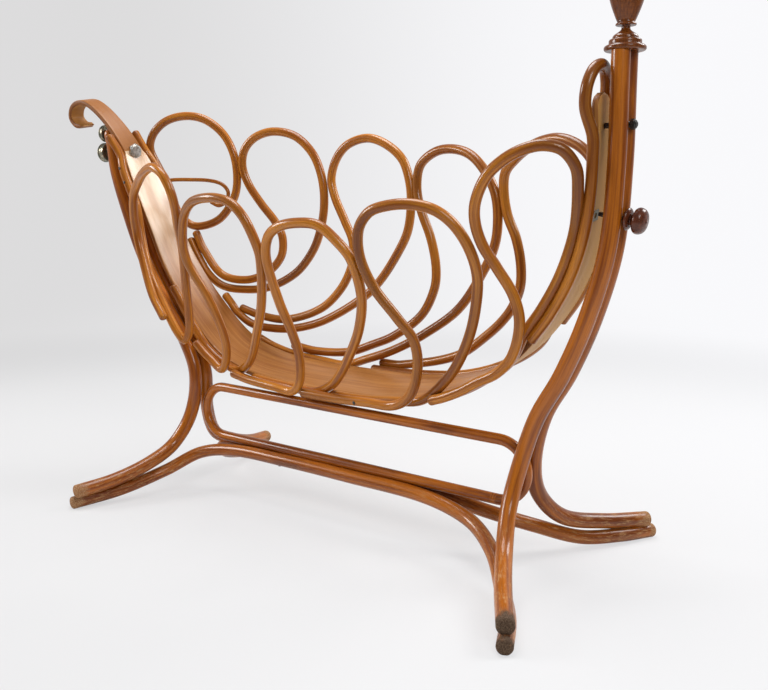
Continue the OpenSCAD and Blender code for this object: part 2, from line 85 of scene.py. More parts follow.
# From the board's edge to the middle of a rod beside it, and from the board's middle up to one over the arch
BESIDE = ROD_R + ROD_GAP
OVER_ARCH = 2 * ROD_R - 3
OUTER_UP = 3
LEG_Y = LEG_R + POST_GAP / 2
RAIL_Y = RAIL_R + 0.5
RAIL_Z = 115
STRETCHER_TOP = 262
STRETCHER_X = (-335, 459)
STRETCHER_LEAN = math.radians(0.5)

# The lock's line, and where it crosses the middle of the tall post
LOCK_AXIS = np.array(JOINTS["lock_pull"]["axis"])
LOCK_START = np.array([LOCK_X + MIDDLE, 0, LOCK_Z])

# What from_low says all along the scroll, in metres
ON_SCROLL = 9

# Points along a rod and along the board, and round a rod
ROD_STEP = 6
BOARD_STEP = 5
ROD_SIDES = 28

# Routes of the stand's rods, with x from halfway between the pivots: [x, distance from the middle plane, z]
LOW_LEG = [[-507, 322, 42], [-479, 229, 55], [-456, 141, 82], [-447, 70, 118], [-428, 27, 194],
           [-420, LEG_Y, 296], [-461, LEG_Y, 385], [-531, LEG_Y, 478], [-604, LEG_Y, 582], [-661, LEG_Y, 698],
           [-703, LEG_Y, 805], [-715, LEG_Y, 875], [-723, LEG_Y, 904]]
TALL_LEG = [[652, 313, 42], [593, 216, 53], [543, 124, 79], [517, 63, 141], [521, 30, 220],
            [548, LEG_Y, 317], [598, LEG_Y, 407], [644, LEG_Y, 518], [678, LEG_Y, 646], [TALL_X, LEG_Y, 790],
            [TALL_X, LEG_Y, COLLAR_Z - 46], [TALL_X, LEG_Y, COLLAR_Z]]
RAIL = [[-516, 327, 14], [-479, 215, 26], [-441, 105, 55], [-386, 38, 95], [-286, 18.3, 113],
        [-123, RAIL_Y, 116], [88, RAIL_Y, 114], [290, 18.3, 110], [411, 34, 89], [497, 88, 60],
        [565, 167, 26], [622, 250, 18], [659, 327, 14]]
STAVE = [[-745, 0, 914], [-738, 0, 872], [-728, 0, 806], [-698, 0, 722], [-657, 0, 632], [-638, 0, 592]]

# Middle line of the board in the basket's frame, [x, z], and its scroll beyond the low pivot
BOARD = [[-657, 0], [-622, -88], [-585, -181], [-545, -293], [-476, -406], [-384, -505], [-280, -545],
         [-150, -559], [0, -562], [150, -558], [320, -528], [455, -454], [548, -356], [606, -258],
         [636, -160], [648, -60], [650, 0], [651, 57]]
SCROLL = [[-829, 75], [-853, 79], [-869, 98], [-858, 122], [-830, 135], [-793, 133], [-760, 116],
          [-725, 87], [-690, 49]]


# Curves along routes

def slopes(route, run):
    """Slope at each point of a route: the chord from the point before to the point after over its length."""
    before = np.maximum(np.arange(len(route)) - 1, 0)
    after = np.minimum(np.arange(len(route)) + 1, len(route) - 1)
    return (route[after] - route[before]) / (run[after] - run[before])[:, None]


def distances(route):
    """Distance along a route to each of its points, summed chord by chord."""
    return np.concatenate([[0.0], np.cumsum(np.linalg.norm(np.diff(route, axis=0), axis=1))])


def hermite(route, run, i, u):
    """Points at u of stretch i: the cubic with the stretch's end points and their slopes."""
    h = (run[i + 1] - run[i])[:, None]
    slope = slopes(route, run)
    u = u[:, None]
    u2, u3 = u * u, u * u * u
    return ((2 * u3 - 3 * u2 + 1) * route[i] + (u3 - 2 * u2 + u) * slope[i] * h
            + (3 * u2 - 2 * u3) * route[i + 1] + (u3 - u2) * slope[i + 1] * h)


def curve(route, step):
    """Smooth curve through a route: every stretch is one cubic, cut into about step-long parts."""
    route = np.array(route, float)
    run = distances(route)
    parts = np.maximum(2, np.round(np.diff(run) / step)).astype(int)
    i = np.repeat(np.arange(len(parts)), parts)
    u = (np.arange(parts.sum()) - np.repeat(np.cumsum(parts) - parts, parts)) / parts[i]
    return np.vstack([hermite(route, run, i, u), route[-1:]])


BOARD_LINE = np.array(BOARD, float)
BOARD_RUN = distances(BOARD_LINE)


def board_at(t):
    """Middle of the board at station t, counted along BOARD, on its cubic."""
    i = min(int(math.floor(t)), len(BOARD) - 2)
    return hermite(BOARD_LINE, BOARD_RUN, np.array([i]), np.array([t - i]))[0]


def board_in(t):
    """Direction into the basket at station t: the middle line's direction, turned a quarter."""
    along = board_at(min(t + 0.05, len(BOARD) - 1)) - board_at(max(t - 0.05, 0))
    along /= np.linalg.norm(along)
    return np.array([-along[1], along[0]])


def half_w(x):
    """Half width of the board at x.

    It is the end's half width, an ellipse's swell between the pivots, and at the low end a widening by the
    eighth power of the share of the way to it.
    """
    return (BOARD_END + BOARD_SWELL * np.sqrt(np.maximum(0, 1 - (x / LEAF_X) ** 2))
            + BOARD_LOW * np.maximum(0, -x / LEAF_X) ** 8)


def by_edge(side, out, up, *stations):
    """Points beside the board: out from its edge, and up from its middle along its inward side."""
    middles = [(board_at(t), board_in(t)) for t in stations]
    return [[c[0] + n[0] * up, side * (half_w(c[0]) + out), c[1] + n[1] * up] for c, n in middles]


def beside(side, *stations):
    """Middle of a rod that lies beside the board."""
    return by_edge(side, BESIDE, 0, *stations)


def climbing(side, *places):
    """Middle of a rod beside the board that rises from it, as pairs of a station and a height."""
    return [point for t, up in places for point in by_edge(side, BESIDE, up, t)]


def outside(*stations):
    """Middle of a near rod that lies beside the one beside the board."""
    return by_edge(-1, 3 * ROD_R + 2 * ROD_GAP, OUTER_UP, *stations)


def above(*stations):
    """Middle of a far rod on its way down to the board."""
    return by_edge(1, ROD_R + 12, ROD_R + 8, *stations)


def along_arch(side, *stations):
    """Middle of a rod scarfed over the arch, and at the last station a little lower."""
    return by_edge(side, ROD_R, OVER_ARCH, *stations[:-1]) + by_edge(side, ROD_R, 17, stations[-1])


# Crook loops of the near side, in the basket's frame: stem, left strand, crown, right strand, stem
NEAR = [
    [[-684, -42, 42]] + beside(-1, 0.05, 0.5, 1, 1.5)
    + [[-590, -72, -206], [-560, -92, -280], [-503, -117, -350], [-456, -132, -410], [-433, -136, -440],
       [-415, -135, -458], [-399, -130, -440], [-391, -126, -392], [-385, -125, -320], [-358, -139, -220],
       [-339, -156, -160], [-325, -168, -105], [-332, -170, -66], [-352, -168, -38], [-388, -161, -25],
       [-440, -146, -38], [-490, -126, -60], [-538, -112, -97], [-563, -104, -150], [-568, -102, -206],
       [-545, -115, -270], [-503, -138, -345], [-457, -153, -396]],
    outside(4.7, 4.95, 5.2)
    + [[-326, -107, -534], [-296, -112, -498], [-286, -117, -440], [-303, -133, -340], [-338, -150, -240],
       [-311, -163, -154], [-255, -180, -106], [-177, -193, -91], [-115, -195, -100], [-80, -195, -129],
       [-62, -188, -180], [-62, -178, -226], [-103, -154, -334], [-150, -135, -410], [-205, -110, -482],
       [-250, -95, -522]] + beside(-1, 5.85, 5.3, 4.8)
    + climbing(-1, (4.3, 7), (3.9, 12), (3.5, 14)),
    outside(5.95, 6.3, 6.6, 7.05)
    + [[-88, -113, -559], [-54, -119, -529], [-34, -129, -460], [-34, -142, -400], [-44, -157, -329],
       [-42, -180, -225], [-18, -190, -176], [20, -194, -152], [75, -193, -143], [125, -188, -149],
       [165, -180, -185], [185, -170, -222], [188, -155, -300], [162, -143, -375], [115, -128, -443],
       [65, -110, -500], [20, -97, -538]] + beside(-1, 7.75, 7.3, 6.8, 6.35),
    outside(7.65, 8, 8.4, 8.9)
    + [[205, -111, -554], [254, -113, -524], [283, -116, -458], [285, -123, -396], [262, -140, -345],
       [222, -156, -278], [208, -170, -215], [215, -174, -160], [245, -175, -125], [285, -173, -112],
       [335, -163, -110], [381, -150, -123], [412, -137, -152], [433, -124, -197], [440, -112, -250],
       [434, -109, -300], [412, -105, -370], [375, -103, -440], [328, -95, -494]]
    + beside(-1, 9.65, 9.2, 8.7, 8.2),
    outside(9.9, 10.1, 10.4, 10.7)
    + [[458, -97, -455], [495, -96, -416], [514, -93, -350], [506, -95, -295], [479, -105, -238],
       [460, -117, -195], [453, -126, -150], [460, -130, -110], [484, -126, -66], [518, -118, -38],
       [552, -107, -23], [584, -95, -19], [612, -80, -30], [629, -66, -62], [628, -58, -98]]
    + along_arch(-1, 13.9, 13.4, 12.8, 12.2, 11.75) + beside(-1, 11.2, 10.8, 10.4, 10),
]

# Crook loops of the far side: the left strand's end, crown, right strand, stem on the board's edge
FAR = [
    [[-684, 42, 42]] + beside(1, 0.05, 0.5, 1, 1.5)
    + [[-588, 66, -182], [-562, 80, -212], [-518, 97, -212], [-477, 113, -193], [-440, 132, -145],
       [-429, 142, -96], [-434, 147, -35], [-460, 146, 18], [-504, 133, 58], [-556, 116, 73], [-612, 95, 66],
       [-650, 76, 38], [-664, 66, 0], [-652, 72, -50], [-634, 80, -95]],
    above(2.5, 2.9)
    + [[-490, 90, -346], [-416, 106, -362], [-347, 122, -342], [-306, 138, -302], [-301, 148, -255],
       [-318, 149, -215], [-361, 149, -165], [-398, 149, -112], [-411, 150, -66], [-402, 158, -25],
       [-368, 170, 4], [-315, 184, 14], [-254, 195, -2], [-205, 196, -45], [-180, 191, -98],
       [-171, 181, -160], [-178, 167, -222], [-204, 152, -285], [-258, 133, -343], [-349, 115, -382],
       [-438, 97, -387], [-486, 80, -374]] + beside(1, 3.4, 3, 2.6),
    above(4.4)
    + [[-372, 100, -457], [-290, 112, -464], [-183, 128, -432], [-118, 143, -378], [-84, 157, -315],
       [-84, 168, -262], [-108, 177, -215], [-140, 187, -155], [-152, 196, -110], [-134, 204, -62],
       [-98, 211, -30], [-40, 216, -18], [15, 213, -34], [63, 206, -69], [85, 196, -115], [92, 186, -165],
       [84, 173, -232], [56, 162, -285], [3, 150, -353], [-49, 140, -397], [-166, 120, -459],
       [-260, 104, -484], [-340, 91, -486], [-395, 80, -474]]
    + climbing(1, (4.4, 7), (4.2, 9), (4, 9)),
    above(6.1, 6.7)
    + [[-84, 106, -531], [-15, 114, -508], [52, 122, -480], [125, 137, -428], [160, 149, -366],
       [164, 159, -315], [150, 169, -250], [122, 180, -185], [108, 192, -135], [118, 199, -85],
       [160, 201, -56], [210, 197, -50], [262, 185, -62], [305, 170, -95], [335, 157, -141],
       [343, 149, -190], [336, 143, -248], [310, 138, -303], [239, 127, -400], [145, 114, -466],
       [60, 103, -510], [-25, 93, -541]] + beside(1, 7.4, 6.9, 6.2, 5.6, 5.15),
    by_edge(1, ROD_R + 18, 12, 8.1) + by_edge(1, ROD_R + 17, 14, 8.5)
    + [[234, 105, -508], [316, 113, -453], [372, 119, -398], [398, 126, -345], [400, 134, -295],
       [388, 143, -240], [365, 152, -189], [356, 159, -140], [362, 160, -100], [390, 156, -72],
       [430, 143, -48], [470, 132, -34], [514, 117, -30], [556, 103, -42], [588, 90, -66], [606, 74, -100]]
    + along_arch(1, 13.6, 13, 12.4, 11.75) + beside(1, 11.1, 10.4, 9.7, 9, 8.4, 8),
]

VOLUTE = [[-626, 68, -90], [-606, 77, -88], [-560, 95, -91], [-505, 113, -97], [-469, 123, -109],
          [-454, 126, -130], [-462, 121, -153], [-484, 114, -164], [-505, 108, -154]]


def arch_route():
    """Route of the end arch: along the near edge, over the board's top, and back along the far edge."""
    half = by_edge(-1, BESIDE, -1, 11.7, 12.2, 12.8, 13.4, 14, 14.6, 15.2, 15.8)
    half += [[641, -44, 35], [644, -42, 70], [649, -25, 96], [652, 0, 104]]
    return half + to_side(half[-2::-1], -1)


def stretcher_route():
    """Closed oblong: a straight run low and one high, and a half circle at each end, turned by its lean."""
    low = RAIL_Z + math.sqrt((RAIL_R + LOOP_R) ** 2 - RAIL_Y ** 2) + 0.2
    bend = (STRETCHER_TOP - low) / 2
    turn = np.linspace(0, math.pi, 25)[:, None]
    run = np.linspace(0, 1, 60)[1:-1, None]
    x0, x1 = STRETCHER_X
    arc = np.hstack([np.sin(turn), 0 * turn, -np.cos(turn)]) * bend
    lower = np.hstack([x0 + (x1 - x0) * run, 0 * run, -bend + 0 * run])
    upper = np.hstack([x1 + (x0 - x1) * run, 0 * run, bend + 0 * run])
    loop = np.vstack([arc + [x1, 0, 0], upper, -arc + [x0, 0, 0], lower])
    return tilted(loop, -STRETCHER_LEAN, 0, 2) + [0, 0, (low + STRETCHER_TOP) / 2]


# Places

def at_home(points):
    """Points of the stand, in millimetres from halfway between the pivots, in metres in the row frame."""
    return (np.asarray(points, float) + [MIDDLE, 0, 0]) * MM


def tilted(points, angle, a, b):
    """Points turned by an angle from axis a towards axis b."""
    p = np.array(points, float)
    p[:, [a, b]] = p[:, [a, b]] @ [[math.cos(angle), math.sin(angle)], [-math.sin(angle), math.cos(angle)]]
    return p


def hang(points):
    """Points of the basket, turned by the tilt about the pivots' line and put at its height, in metres."""
    return (tilted(points, TILT, 1, 2) + PIVOT) * MM


def to_side(route, side):
    """A route of the far side, or with side -1 its mirror image."""
    return [[x, side * y, z] for x, y, z in route]


# Surfaces

def linked(name, data):
    """A new object of the scene, at the origin."""
    obj = bpy.data.objects.new(name, data)
    bpy.context.scene.collection.objects.link(obj)
    return obj


def grid_faces(rows, cols, closed_rows=False):
    """Quads of a grid whose columns close on themselves, and whose rows may."""
    i = np.arange(rows if closed_rows else rows - 1)[:, None]
    k = np.arange(cols)[None, :]
    nxt = (i + 1) % rows
    a, b = i * cols + k, nxt * cols + k
    c, d = nxt * cols + (k + 1) % cols, i * cols + (k + 1) % cols
    return np.stack([a, d, c, b], axis=-1).reshape(-1, 4)


def fan(centre, ring):
    """Triangles from a centre to a closed ring of vertices."""
    return np.stack([np.full(len(ring), centre), ring, np.roll(ring, -1)], axis=-1)


def capped(rows, cols):
    """Faces of a grid of rings, with a fan on each end round the two vertices that follow the grid's."""
    first, last = np.arange(cols), np.arange(cols) + (rows - 1) * cols
    return [grid_faces(rows, cols), fan(rows * cols, first), fan(rows * cols + 1, last[::-1])]


def around(sides):
    """Angles of so many points evenly round a circle."""
    return np.linspace(0, 2 * np.pi, sides, endpoint=False)


def frames(p, closed=False):
    """Tangent and untwisted side direction at each point of a path.

    The side starts as a fixed direction squared to the tangent. The angle by which that turns against
    a side carried along without twist is summed and taken back out. A closed path is flat and needs none.
    """
    ahead = np.roll(p, -1, axis=0) - p
    tangent = ahead + np.roll(ahead, 1, axis=0)
    if not closed:
        tangent[0], tangent[-1] = ahead[0], p[-1] - p[-2]
    tangent /= np.linalg.norm(tangent, axis=1)[:, None]
    fixed = np.linalg.eigh(np.cov(p.T))[1][:, 0]
    side = fixed - tangent * (tangent @ fixed)[:, None]
    side /= np.linalg.norm(side, axis=1)[:, None]
    if closed:
        return tangent, side
    t1, t2, s1, s2 = tangent[:-1], tangent[1:], side[:-1], side[1:]
    carried = s1 - ((s1 * t2).sum(1) / (1 + (t1 * t2).sum(1)))[:, None] * (t1 + t2)
    angle = np.arctan2((np.cross(carried, s2) * t2).sum(1), (carried * s2).sum(1))
    twist = -np.concatenate([[0.0], np.cumsum(angle)])
    across = np.cross(tangent, side)
    return tangent, np.cos(twist)[:, None] * side + np.sin(twist)[:, None] * across


def circles(centre, tangent, side, width, run):
    """Circles square to a path, and the place of each of their points in the straight rod."""
    angle = around(ROD_SIDES)
    cos, sin = np.cos(angle)[None, :, None], np.sin(angle)[None, :, None]
    across = np.cross(tangent, side)
    rings = centre[:, None] + width[:, None, None] * (cos * side[:, None] + sin * across[:, None])
    straight = np.stack(np.broadcast_arrays(run[:, None], width[:, None] * np.cos(angle),
                                            width[:, None] * np.sin(angle)), axis=-1)
    return rings.reshape(-1, 3), straight.reshape(-1, 3)


class Piece:
    """Vertices, faces and the place of every vertex in the straight rod or board before it was bent."""

    def __init__(self):
        self.verts, self.faces, self.straight, self.count = [], [], [], 0

    def add(self, verts, faces, straight):
        self.verts.append(verts)
        self.faces += [face + self.count for face in faces]
        self.straight.append(straight)
        self.count += len(verts)

    def make(self, name, body, slot, material, seed, floor=False, **masks):
        """Writes the mesh, ties it to its body and to its finish, and hides the node of its name."""
        verts = np.vstack(self.verts)
        if floor:
            verts[:, 2] = np.maximum(verts[:, 2], 0)
        mesh = bpy.data.meshes.new(name)
        sizes = np.concatenate([np.full(len(face), face.shape[1]) for face in self.faces])
        corners = np.concatenate([face.ravel() for face in self.faces])
        mesh.vertices.add(len(verts))
        mesh.vertices.foreach_set("co", verts.ravel())
        mesh.loops.add(len(corners))
        mesh.loops.foreach_set("vertex_index", corners)
        mesh.polygons.add(len(sizes))
        mesh.polygons.foreach_set("loop_start", np.cumsum(sizes) - sizes)
        mesh.update(calc_edges=True)
        mesh.validate()
        mesh.polygons.foreach_set("use_smooth", np.ones(len(mesh.polygons), bool))
        straight = np.vstack(self.straight) + [seed, 0, 0]
        mesh.attributes.new("straight", "FLOAT_VECTOR", "POINT").data.foreach_set("vector", straight.ravel())
        for mask, values in masks.items():
            mesh.attributes.new(mask, "FLOAT", "POINT").data.foreach_set("value", np.asarray(values, float))
        mesh.materials.append(material)
        obj = linked(name, mesh)
        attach(obj, body)
        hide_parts(name)


def rod_surface(path, radius, ease, domed):
    """Tube along a path: circles square to it, and a rounded shoulder and a flat face or a dome at each end.

    The shoulder at w between 0 and 90 degrees lies ease * cos(w) past the end, with its radius less by
    ease * (1 - sin(w)), or by the radius * (1 - sin(w)) on a dome, times the share that leaves a small flat
    face. Radius, ease and path are in millimetres.
    """
    share = 0.96
    tangent, side = frames(path)
    w = np.radians(np.arange(0, 90, 15))
    shift = np.concatenate([-ease[0] * np.cos(w), np.zeros(len(path)), (ease[1] * np.cos(w))[::-1]])
    first, last = (radius - (radius if dome else part) * (1 - np.sin(w)) * share
                   for dome, part in zip(domed, ease))
    width = np.concatenate([first, np.full(len(path), radius), last[::-1]])
    index = np.clip(np.arange(len(shift)) - len(w), 0, len(path) - 1)
    centre = path[index] + tangent[index] * shift[:, None]
    run = distances(path)[index] + shift
    verts, straight = circles(centre, tangent[index], side[index], width, run)
    ends = [[run[0], 0, 0], [run[-1], 0, 0]]
    piece = Piece()
    piece.add(np.vstack([verts, centre[:1], centre[-1:]]), capped(len(centre), ROD_SIDES),
              np.vstack([straight, ends]) * MM)
    return piece, run[-1] * MM


def rod(name, body, route, radius, place, slot, material, seed, ease=(3, 3), domed=(False, False),
        floor=False):
    """One bent rod that stands for the node of its name, with its distances from its ends.

    A second mask is 1 on the near rods of the tall end, whose foot is dirty.
    """
    piece, length = rod_surface(curve(route, ROD_STEP), radius, ease, domed)
    along = np.vstack(piece.straight)[:, 0]
    from_end = np.minimum(np.maximum(along, 0), np.maximum(length - along, 0))
    piece.verts = [place(v) for v in piece.verts]
    dirty = (np.vstack(piece.verts)[:, 0] > 0) * name.endswith("near")
    piece.make(name, body, slot, material, seed, floor, from_end=from_end, dark_tip=dirty)


def lathe(profile, sides=64, flats=None, groove=None):
    """Turned surface: a profile of (radius, height) points carried round the Z axis.

    With flats, the radius at an angle is at most that of a hexagon of that width across its flats.
    With groove, one of that half width and depth is cut across the last third of the profile.
    """
    profile = np.array(profile, float)
    angle = around(sides)
    radius = np.repeat(profile[:, :1], sides, axis=1)
    if flats:
        sixth = (angle + np.pi / 6) % (np.pi / 3) - np.pi / 6
        radius = np.minimum(radius, flats / 2 / np.cos(sixth))
    x, y = radius * np.cos(angle), radius * np.sin(angle)
    z = np.repeat(profile[:, 1:], sides, axis=1)
    half, deep = groove or (0, 0)
    if groove:
        top = np.arange(len(profile))[:, None] > len(profile) * 2 / 3
        z = z - deep * top / (1 + np.exp((np.abs(y) - half) / 0.12))
    verts = np.stack([x, y, z], axis=-1).reshape(-1, 3)
    ends = [[0, 0, profile[0, 1]], [0, 0, profile[-1, 1] - deep]]
    return np.vstack([verts, ends]), capped(len(profile), sides)


def rounded(points, cut=0.28, rounds=2):
    """Open outline with each corner cut off at a share of its sides, over and over, its ends kept."""
    p = np.array(points, float)
    for _ in range(rounds):
        a = p[:-1] * (1 - cut) + p[1:] * cut
        b = p[:-1] * cut + p[1:] * (1 - cut)
        p = np.vstack([p[:1], np.stack([a, b], axis=1).reshape(-1, p.shape[1])[1:-1], p[-1:]])
    return p


def turned_to(axis):
    """Matrix whose third column is the axis, with the others square to it."""
    axis = np.array(axis, float) / np.linalg.norm(axis)
    fixed = np.array([0, 0, 1]) if abs(axis[2]) < 0.9 else np.array([1, 0, 0])
    first = np.cross(fixed, axis)
    first /= np.linalg.norm(first)
    return np.stack([first, np.cross(axis, first), axis], axis=1)


def turned(name, body, parts, material, seed, slot=None):
    """Piece of one or more lathed parts: each is (profile, origin, axis, keywords of lathe)."""
    piece = Piece()
    for profile, origin, axis, how in parts:
        verts, faces = lathe(profile, **how)
        piece.add((verts @ turned_to(axis).T + origin) * MM, faces, verts[:, [2, 0, 1]] * MM)
    piece.make(name, body, slot or material, MATERIALS[material], seed)


# Shader maths

def expression(operation, swapped=False):
    """Method that adds a Math node of an operation, with the two values swapped for a reflected form."""
    def method(self, other):
        a, b = (other, self) if swapped else (self, other)
        return self.maker.node("ShaderNodeMath", {0: a, 1: b}, operation=operation)
    return method


class Link:
    """A shader socket that takes part in Python expressions, each of which adds a Math node."""

    def __init__(self, maker, socket):
        self.maker, self.socket = maker, socket

    __add__ = __radd__ = expression("ADD")
    __mul__ = __rmul__ = expression("MULTIPLY")
    __sub__ = expression("SUBTRACT")
    __rsub__ = expression("SUBTRACT", swapped=True)


class Maker:
    """Builds one material's nodes."""

    def __init__(self, name):
        self.material = bpy.data.materials.new(name)
        self.material.use_nodes = True
        self.tree = self.material.node_tree
        self.shader = self.tree.nodes["Principled BSDF"]

    def node(self, kind, inputs=(), output=0, **settings):
        """Adds a node of a type, sets its settings and then its sockets, and gives one of its outputs."""
        node = self.tree.nodes.new(kind)
        for key, value in settings.items():
            setattr(node, key, value)
        for key, value in dict(inputs).items():
            self.feed(node.inputs[key], value)
        return Link(self, node.outputs[output])

    def feed(self, socket, value):
        if isinstance(value, Link):
            self.tree.links.new(value.socket, socket)
        elif hasattr(value, "__len__") and len(value) == 3 and socket.type == "RGBA":
            socket.default_value = (*value, 1)
        else:
            socket.default_value = value

    def attribute(self, name, output="Fac"):
        return self.node("ShaderNodeAttribute", attribute_name=name, output=output)

    def place(self):
        return self.node("ShaderNodeTexCoord", output="Object")

    def scaled(self, vector, scale):
        return self.node("ShaderNodeVectorMath", {0: vector, 1: scale}, operation="MULTIPLY")

    def noise(self, vector, scale, detail=3.0, rough=0.55, distortion=0.0):
        """Noise at so many cells per metre along each axis."""
        return self.node("ShaderNodeTexNoise", {"Vector": self.scaled(vector, scale), "Scale": 1.0,
                         "Detail": detail, "Roughness": rough, "Distortion": distortion})

    def step(self, value, low, high):
        """0 below low, 1 above high, and smooth between."""
        return self.node("ShaderNodeMapRange", {"Value": value, "From Min": low, "From Max": high},
                         interpolation_type="SMOOTHSTEP")

    def mix(self, factor, a, b):
        return self.node("ShaderNodeMix", {0: factor, 6: a, 7: b}, output=2, data_type="RGBA")

    def layers(self, base, *coats):
        """Colours laid over a base one after another, each a pair of its mask and itself."""
        for mask, colour in coats:
            base = self.mix(mask, base, colour)
        return base

    def bump(self, height, strength, distance):
        return self.node("ShaderNodeBump", {"Height": height, "Strength": strength, "Distance": distance})

    def finish(self, **sockets):
        for key, value in sockets.items():
            self.feed(self.shader.inputs[key.replace("_", " ")], value)
        return self.material


def bent_wood(name, light, dark, stain, gloss=0.2):
    """Varnished bent beech: streaks, flecks and pores along the rod, stain patches, and dirt at its ends."""
    m = Maker(name)
    p = m.attribute("straight", "Vector")
    streak = m.noise(p, (3, 150, 150), 4)
    fibre = m.noise(p, (14, 900, 900), 3, 0.7)
    fleck = m.noise(p, (160, 1300, 1300), 2, 0.6)
    cloud = m.noise(p, (5, 25, 25), 3)
    patch = m.noise(p, (1.7, 12, 12), 2)
    scuff = m.step(m.noise(p, (60, 260, 260), 4, 0.75), 0.63, 0.72) * m.step(cloud, 0.45, 0.65)
    ends = 1 - m.step(m.attribute("from_end") + m.noise(p, (90, 150, 150)) * 0.012, 0.006, 0.022)
    base = m.layers(light,
                    (m.step(streak + cloud * 0.6, 0.6, 1.0), dark),
                    (m.step(fibre, 0.42, 0.72) * 0.45, dark),
                    (m.step(patch, 0.45, 0.7) * 0.55, stain),
                    (m.step(fleck, 0.6, 0.78) * 0.4, stain),
                    (scuff * 0.4, light),
                    (ends * 0.3, stain))
    height = streak * 0.5 + fibre * 0.35 + fleck * 0.25
    rough = cloud * 0.12 + fibre * 0.1 + scuff * 0.2 + ends * 0.25 + gloss
    return m.finish(Base_Color=base, Roughness=rough, Coat_Weight=(1 - scuff * 0.7) * 0.4,
                    Coat_Roughness=0.12, Specular_IOR_Level=0.2, Normal=m.bump(height, 0.25, 0.0006))


def foot_wood(name, light, dark, stain):
    """The stand's rods: bent wood that turns to dirty, scraped end grain over its last 40 mm by the floor."""
    m = Maker(name)
    p = m.attribute("straight", "Vector")
    streak = m.noise(p, (2.5, 110, 110), 4)
    fibre = m.noise(p, (12, 700, 700), 3, 0.7)
    fleck = m.noise(p, (130, 1100, 1100), 2, 0.6)
    cloud = m.noise(p, (4, 22, 22), 3)
    grain = m.noise(p, (500, 420, 420), 3, 0.8)
    height_z = m.node("ShaderNodeSeparateXYZ", {0: m.place()}, output=2)
    scrape = m.step(m.noise(p, (38, 240, 240), 5, 0.8), 0.5, 0.64) * (1 - m.step(height_z, 0.04, 0.17))
    tip = 1 - m.step(m.attribute("from_end") + (m.noise(p, (70, 110, 110)) - 0.5) * 0.05, 0.008, 0.03)
    tip = tip * (1 - m.step(height_z, 0.1, 0.16))
    dark_tip = m.attribute("dark_tip")
    scraped = m.mix(m.step(grain, 0.4, 0.65), (0.22, 0.095, 0.035), (0.52, 0.34, 0.19))
    dirt = m.mix(m.step(grain, 0.35, 0.8), (0.06, 0.034, 0.02), (0.19, 0.125, 0.08))
    base = m.layers(light,
                    (m.step(streak + cloud * 0.6, 0.58, 1.0), dark),
                    (m.step(fibre, 0.42, 0.72) * 0.4, dark),
                    (m.step(cloud, 0.5, 0.7) * 0.5, stain),
                    (m.step(fleck, 0.6, 0.76) * 0.35, stain),
                    (scrape * 0.8, (0.50, 0.28, 0.12)),
                    (tip * (dark_tip * 0.2 + 0.8), m.mix(dark_tip, scraped, dirt)))
    height = streak * 0.5 + fibre * 0.35 + fleck * 0.2 + scrape * -0.5 + tip * grain * 1.2
    rough = cloud * 0.12 + fibre * 0.08 + scrape * 0.35 + tip * 0.5 + 0.2
    return m.finish(Base_Color=base, Roughness=rough, Coat_Weight=(1 - tip) * (1 - scrape) * 0.45,
                    Coat_Roughness=0.12, Specular_IOR_Level=0.2, Normal=m.bump(height, 0.3, 0.0007))


def board_wood(name, light, dark, stain, pale, gold):
    """Varnished sawn board: figure and pores along it.

    Its inner face is pale towards the low end, partly worn varnish and partly a painted glare, its outer face a
    warm yellow-brown made brighter as painted light, and its scroll dark. From_low is the distance from the low
    pivot in metres, and far more than the board's length on the scroll.
    """
    m = Maker(name)
    p = m.attribute("straight", "Vector")
    warp = m.noise(p, (2.2, 14, 14), 2)
    figure = m.noise(p, (1.6, 62, 90), 5, 0.6, 0.4)
    fibre = m.noise(p, (9, 520, 520), 3, 0.7)
    fleck = m.noise(p, (110, 800, 800), 2, 0.6)
    worn = m.step(m.noise(p, (7, 30, 30), 3), 0.35, 0.6)
    inner, edge, from_low = (m.attribute(mask) for mask in ("inner", "edge", "from_low"))
    low_end = inner * (1 - m.step(from_low, 0.14, 0.42))
    base = m.layers(light,
                    (m.step(figure + warp * 0.35, 0.45, 0.95), dark),
                    (m.step(fibre, 0.45, 0.72) * 0.4, dark),
                    (m.step(fleck, 0.62, 0.78) * 0.35, stain),
                    # Pale on the inner face towards the low end: worn varnish, and a painted glare
                    (low_end * (worn * 0.4 + 0.35), pale),
                    # Outer face: a brighter colour that paints light on it against its shade
                    ((1 - inner) * (1 - edge) * 0.75, gold),
                    (m.step(from_low, 5, 6) * 0.65, dark),
                    (edge * m.step(figure, 0.4, 0.6) * 0.5, stain))
    height = figure * 0.4 + fibre * 0.4 + fleck * 0.3
    rough = fibre * 0.12 + worn * 0.1 + 0.42 - inner * 0.16
    return m.finish(Base_Color=base, Roughness=rough, Coat_Weight=low_end * 0.7 + inner * 0.2 + 0.03,
                    Coat_Roughness=0.2, Specular_IOR_Level=0.22, Normal=m.bump(height, 0.25, 0.0006))


def turned_wood(name, light, dark, stain):
    """Stained, polished turning: tool rings round it, grain along it, and small pale chips."""
    m = Maker(name)
    p = m.attribute("straight", "Vector")
    ring = m.noise(p, (900, 6, 6), 2)
    grain = m.noise(p, (30, 260, 260), 4, 0.65)
    cloud = m.noise(p, (35, 45, 45), 3)
    chip = m.step(m.noise(p, (210, 210, 210), 4, 0.8), 0.66, 0.72)
    base = m.layers(light,
                    (m.step(grain + cloud * 0.4, 0.5, 0.95), dark),
                    (m.step(ring, 0.45, 0.65) * 0.35, stain),
                    (chip * 0.45, (0.42, 0.24, 0.12)))
    height = ring * 0.4 + grain * 0.3 - chip * 0.4
    rough = cloud * 0.15 + chip * 0.2 + 0.16
    return m.finish(Base_Color=base, Roughness=rough, Coat_Weight=(1 - chip) * 0.28,
                    Coat_Roughness=0.1, Specular_IOR_Level=0.25, Normal=m.bump(height, 0.2, 0.0004))


